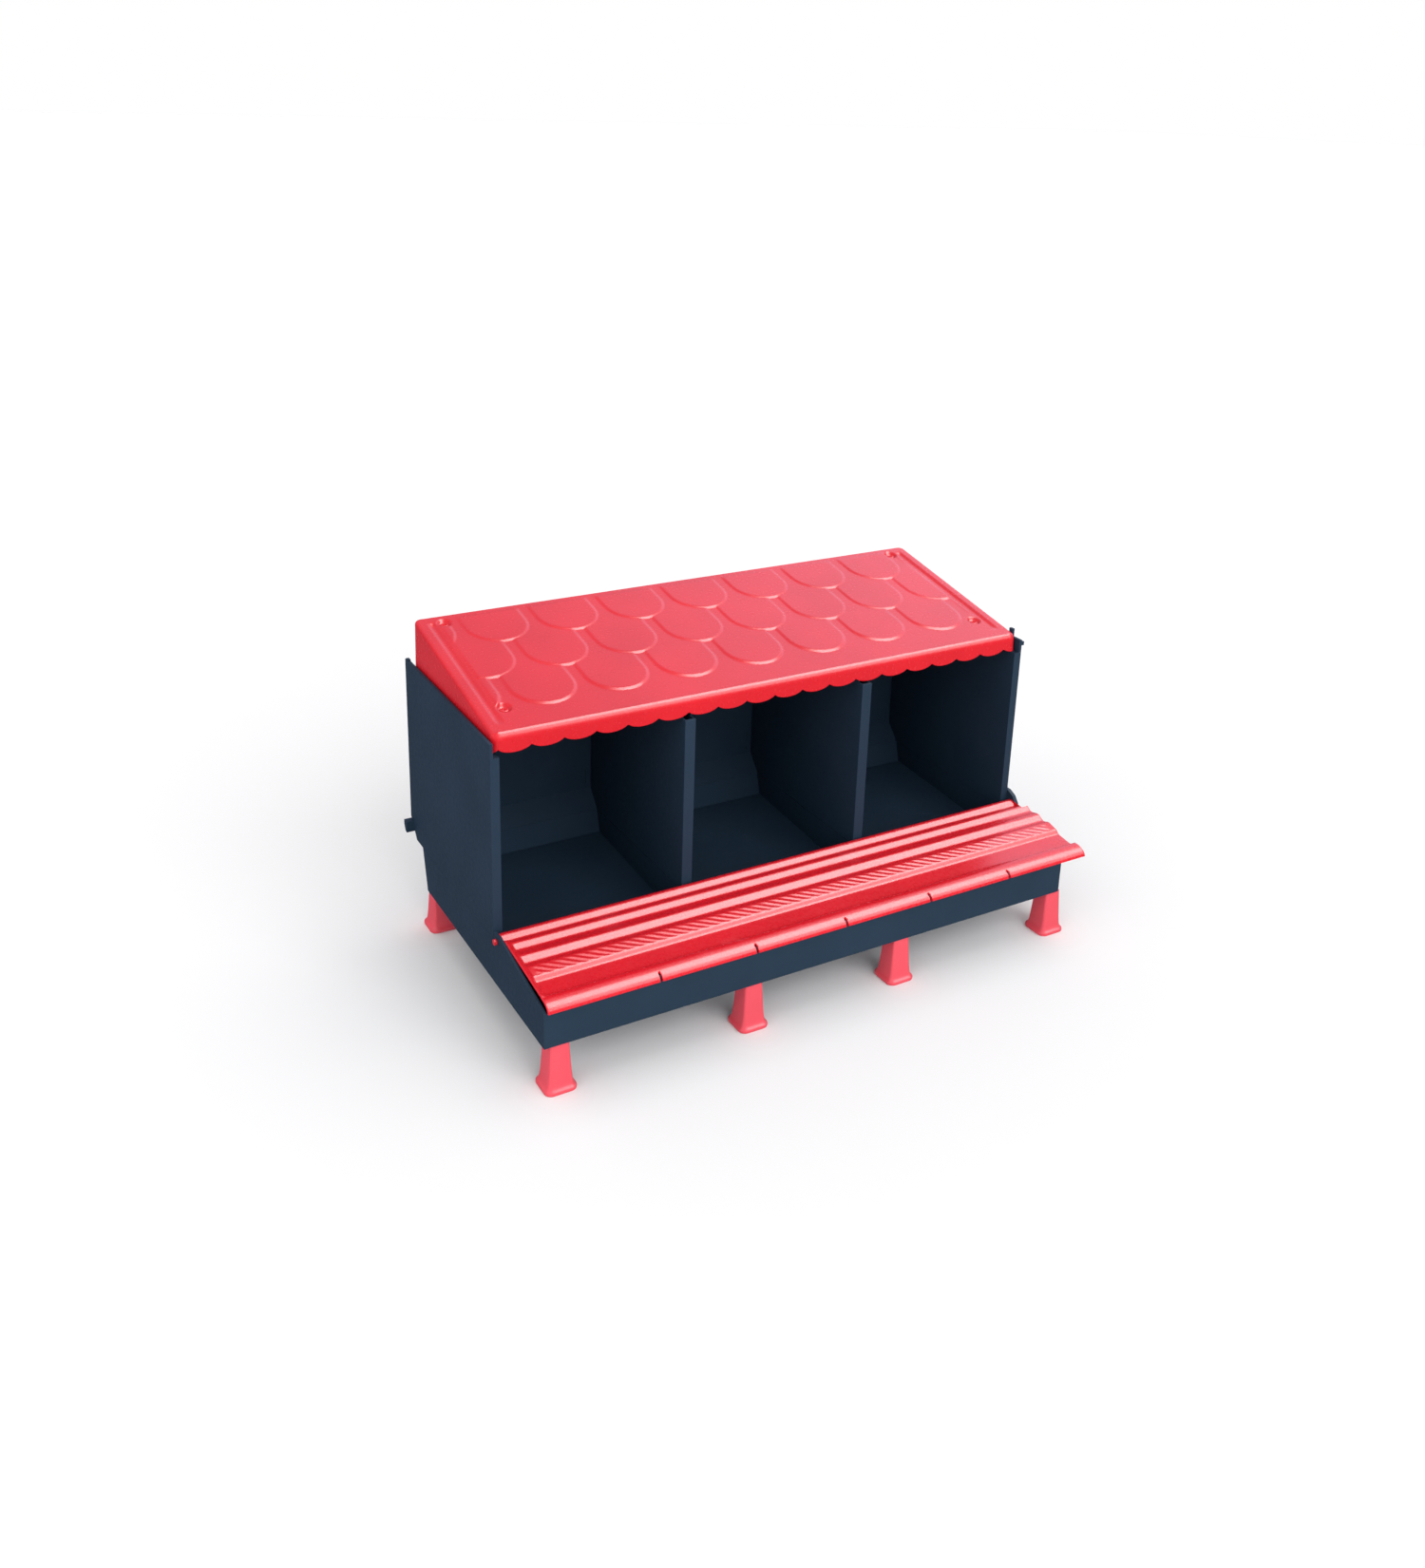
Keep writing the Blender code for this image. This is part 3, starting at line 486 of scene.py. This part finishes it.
def cover_section(path, x):
    """Closed outline of the cover at one station, as (u, z)."""
    top = resample(path, np.linspace(0, 1, 150))
    u = top[:, 0]
    # raised rim at the left end fills the valleys up to the line of the crests
    crest_line = 0.0860 - 0.1050 * u
    rise = smooth((COVER_LEFT + END_RIM - x) / (END_RIM - 0.0030))
    on_plate = smooth((u - 0.010) / 0.012) * smooth((0.154 - u) / 0.006)
    top[:, 1] += np.maximum(crest_line - top[:, 1], 0.0) * rise * on_plate
    under = offset_path(top, COVER_SKIN)
    under = resample(under[under[:, 0] > KNUCKLE + 0.0012][::-1], np.linspace(0, 1, 80))
    # diagonal anti-slip serration on the broad crest
    on_crest = smooth((u - 0.0830) / 0.003) * smooth((0.1030 - u) / 0.003)
    phase = 2 * math.pi * (x - 1.75 * (u - 0.0925)) / SERRATION_PITCH
    inside = smooth((x - COVER_LEFT - 0.014) / 0.004) * smooth((COVER_RIGHT - 0.010 - x) / 0.004)
    top[:, 1] += SERRATION_HEIGHT * np.sin(phase) * on_crest * inside

    start = math.atan2(under[-1, 1] - HINGE_Z, -under[-1, 0]) % (2 * math.pi)
    angles = np.linspace(start + 0.25, math.radians(450), 22)[:-1]
    knuckle = np.stack([-KNUCKLE * np.cos(angles), HINGE_Z + KNUCKLE * np.sin(angles)], axis=-1)
    if any(abs(x - notch) < NOTCH_HALF for notch in notch_positions()):
        top = stop_at(top, LIP_FRONT - NOTCH_DEPTH, True)
        under = stop_at(under, LIP_FRONT - NOTCH_DEPTH, True)
    if x > KNUCKLE_RIGHT:
        top = stop_at(top, EAR_CLEARANCE, False)
        under = stop_at(under, EAR_CLEARANCE, False)
        knuckle = np.repeat(under[-1:], len(knuckle), axis=0)
    return np.concatenate([top, under, knuckle])


def inset_section(section, distance):
    """Pulls a closed outline inwards."""
    before, after = np.roll(section, 1, axis=0), np.roll(section, -1, axis=0)
    tangent = after - before
    tangent /= np.maximum(np.hypot(*tangent.T), 1e-12)[:, None]
    normal = np.stack([-tangent[:, 1], tangent[:, 0]], axis=-1)
    return section - normal * distance


def build_cover():
    path = cover_path()
    columns = cover_columns()
    sections = [cover_section(path, x) for x in columns]
    stations = [COVER_LEFT] + columns + [COVER_RIGHT]
    sections = [inset_section(sections[0], 0.0005)] + sections + [inset_section(sections[-1], 0.0005)]
    size = sections[0].shape[0]
    points = []
    for x, section in zip(stations, sections):
        points += [(x, HINGE_Y - u, z) for u, z in section]
    cover = make_object("trough_cover", points, rings_to_faces(len(stations), size))
    clean_mesh(cover, 50)
    dress(cover, COVER_PLASTIC)
    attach(cover, "egg_cover")
    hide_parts("egg_cover")


# ---------------------------------------------------------------- feet
def rounded_square(half, rounding):
    """Corner points of a rounded square, anticlockwise."""
    radius = half * rounding
    ring = []
    for corner in range(4):
        middle = math.radians(45 + 90 * corner)
        cx = (half - radius) * math.copysign(1, math.cos(middle))
        cy = (half - radius) * math.copysign(1, math.sin(middle))
        for k in range(CORNER_STEPS + 1):
            a = math.radians(90 * corner + 90 * k / CORNER_STEPS)
            ring.append((cx + radius * math.cos(a), cy + radius * math.sin(a)))
    return ring


def build_feet():
    h = FOOT_HEIGHT
    sections = [
        (0.0235, -h, 0.46), (0.0242, -h + 0.0006, 0.46), (0.0245, -h + 0.0018, 0.46),
        (0.0245, -h + 0.0044, 0.46), (0.0240, -h + 0.0055, 0.45), (0.0226, -h + 0.0066, 0.42),
        (0.0208, -h + 0.0084, 0.36), (0.0196, -h + 0.0110, 0.30), (0.0187, -h + 0.0150, 0.26),
        (0.0176, -h + 0.0250, 0.24), (0.0165, -h + 0.0420, 0.24), (0.0154, -h + 0.0600, 0.24),
        (0.0146, -GAP - 0.0006, 0.24), (0.0140, -GAP, 0.24),
        (0.0080, -GAP, 0.25), (0.0080, 0.0036, 0.25), (0.0074, 0.0039, 0.25),
    ]
    for row, y in FOOT_ROWS.items():
        for number, x in enumerate(FOOT_X, start=1):
            points = []
            for half, z, rounding in sections:
                points += [(x + px, y + py, z) for px, py in rounded_square(half, rounding)]
            ring = len(points) // len(sections)
            foot = make_object(
                f"leg_{row}_{number}", points, rings_to_faces(len(sections), ring), sharp=60
            )
            dress(foot, FOOT_PLASTIC)
            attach(foot, "housing")
            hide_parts(f"foot_{row}_{number}")


# ---------------------------------------------------------------- carried-over moulded pieces
def flat_shading(node):
    """Shades a piece by its own faces, without the normals that came with the mesh."""
    imported = node.data.attributes.get("custom_normal")
    if imported is not None:
        node.data.attributes.remove(imported)
    node.data.shade_flat()


def soften_edges(node, width):
    """Welds the imported triangles and rounds every real edge."""
    weld = node.modifiers.new("weld", "WELD")
    weld.merge_threshold = WELD_REACH
    flat = node.modifiers.new("flat", "DECIMATE")
    flat.decimate_type = "DISSOLVE"
    flat.angle_limit = math.radians(FLAT_ANGLE)
    bevel = node.modifiers.new("edges", "BEVEL")
    bevel.width = width
    bevel.segments = 2
    bevel.limit_method = "ANGLE"
    bevel.angle_limit = math.radians(EDGE_ANGLE)


for kept in ("base_tray", "side_panel_left", "side_panel_right", "divider_left",
             "divider_right", "back_panel_left", "back_panel_centre", "back_panel_right"):
    dress(NODES[kept], NAVY_PLASTIC)
    flat_shading(NODES[kept])
    soften_edges(NODES[kept], PANEL_ROUNDING)
for kept in ("hinge_pin_left", "hinge_pin_right"):
    dress(NODES[kept], PIN_PLASTIC)
    soften_edges(NODES[kept], PIN_ROUNDING)

build_roof()
build_pegs()
build_cover()
build_feet()


# ---------------------------------------------------------------- floor, light and camera
def build_floor():
    mesh = bpy.data.meshes.new("floor")
    corners = [(x * FLOOR_REACH, y * FLOOR_REACH, 0) for x, y in ((-1, -1), (1, -1), (1, 1), (-1, 1))]
    mesh.from_pydata(corners, [], [(0, 1, 2, 3)])
    floor = bpy.data.objects.new("floor", mesh)
    bpy.context.scene.collection.objects.link(floor)
    material = new_material("floor_paint", FLOOR_COLOUR, 0.85, specular=0.2)[0]
    floor.data.materials.append(material)
    floor.visible_glossy = False


def glow(tree, place, direction, start, amount):
    """Extra brightness of the surroundings round one direction."""
    dot = tree.nodes.new("ShaderNodeVectorMath")
    dot.operation = "DOT_PRODUCT"
    dot.inputs[1].default_value = Vector(direction).normalized()
    tree.links.new(place, dot.inputs[0])
    return remap(tree, dot.outputs["Value"], start, 1.0, 0.0, amount)


def add(tree, first, second):
    node = tree.nodes.new("ShaderNodeMath")
    node.operation = "ADD"
    tree.links.new(first, node.inputs[0])
    tree.links.new(second, node.inputs[1])
    return node.outputs[0]


def switch(tree, factor, off, on):
    """Picks one of two levels, each a number or a socket."""
    node = tree.nodes.new("ShaderNodeMix")
    node.data_type = "FLOAT"
    tree.links.new(factor, node.inputs[0])
    for socket, value in ((node.inputs[2], off), (node.inputs[3], on)):
        if isinstance(value, float):
            socket.default_value = value
        else:
            tree.links.new(value, socket)
    return node.outputs[0]


def build_surroundings():
    """White backdrop, even light on the object, and a graded sky that only its gloss shows."""
    world = bpy.data.worlds.new("studio")
    bpy.context.scene.world = world
    world.use_nodes = True
    tree = world.node_tree
    place = tree.nodes.new("ShaderNodeTexCoord").outputs["Generated"]
    path = tree.nodes.new("ShaderNodeLightPath").outputs
    split = tree.nodes.new("ShaderNodeSeparateXYZ")
    tree.links.new(place, split.inputs[0])
    sky = remap(tree, split.outputs["Z"], *REFLECTED_RISE, *REFLECTED_SKY)
    reflected = add(tree, sky, glow(tree, place, *BRIGHT_SIDE))
    level = switch(tree, path["Is Glossy Ray"], WORLD_LEVEL, reflected)
    background = tree.nodes["Background"]
    tree.links.new(switch(tree, path["Is Camera Ray"], level, 1.0), background.inputs["Strength"])
    tint = mix_colour(tree, path["Is Glossy Ray"], (1.0, 1.0, 1.0), REFLECTED_TINT)
    tree.links.new(tint, background.inputs["Color"])


def build_lamp(name, direction, energy, width, in_gloss):
    """A distant lamp that either lights surfaces or only shows in their gloss."""
    lamp = bpy.data.lights.new(name, "SUN")
    lamp.energy = energy
    lamp.angle = math.radians(width)
    sun = bpy.data.objects.new(name, lamp)
    bpy.context.scene.collection.objects.link(sun)
    sun.rotation_mode = "QUATERNION"
    sun.rotation_quaternion = Vector(direction).to_track_quat("Z", "Y")
    sun.visible_glossy = in_gloss
    sun.visible_diffuse = not in_gloss


def build_camera():
    a, e, roll = (math.radians(v) for v in (CAMERA_AZIMUTH, CAMERA_ELEVATION, CAMERA_ROLL))
    back = Vector((math.sin(a) * math.cos(e), -math.cos(a) * math.cos(e), math.sin(e)))
    right = Vector((0, 0, 1)).cross(back).normalized()
    up = back.cross(right)
    across = right * math.cos(roll) + up * math.sin(roll)
    upward = up * math.cos(roll) - right * math.sin(roll)
    data = bpy.data.cameras.new("camera")
    data.lens = CAMERA_LENS
    data.sensor_width = 36.0
    data.shift_y = CAMERA_SHIFT
    data.clip_end = 200.0
    camera = bpy.data.objects.new("camera", data)
    bpy.context.scene.collection.objects.link(camera)
    turn = Matrix((across, upward, back)).transposed().to_4x4()
    camera.matrix_world = Matrix.Translation(CAMERA_PLACE + SHIFT) @ turn
    bpy.context.scene.camera = camera


build_floor()
build_surroundings()
for lamp in LAMPS:
    build_lamp(*lamp)
build_camera()
bpy.context.scene.view_settings.view_transform = "Standard"
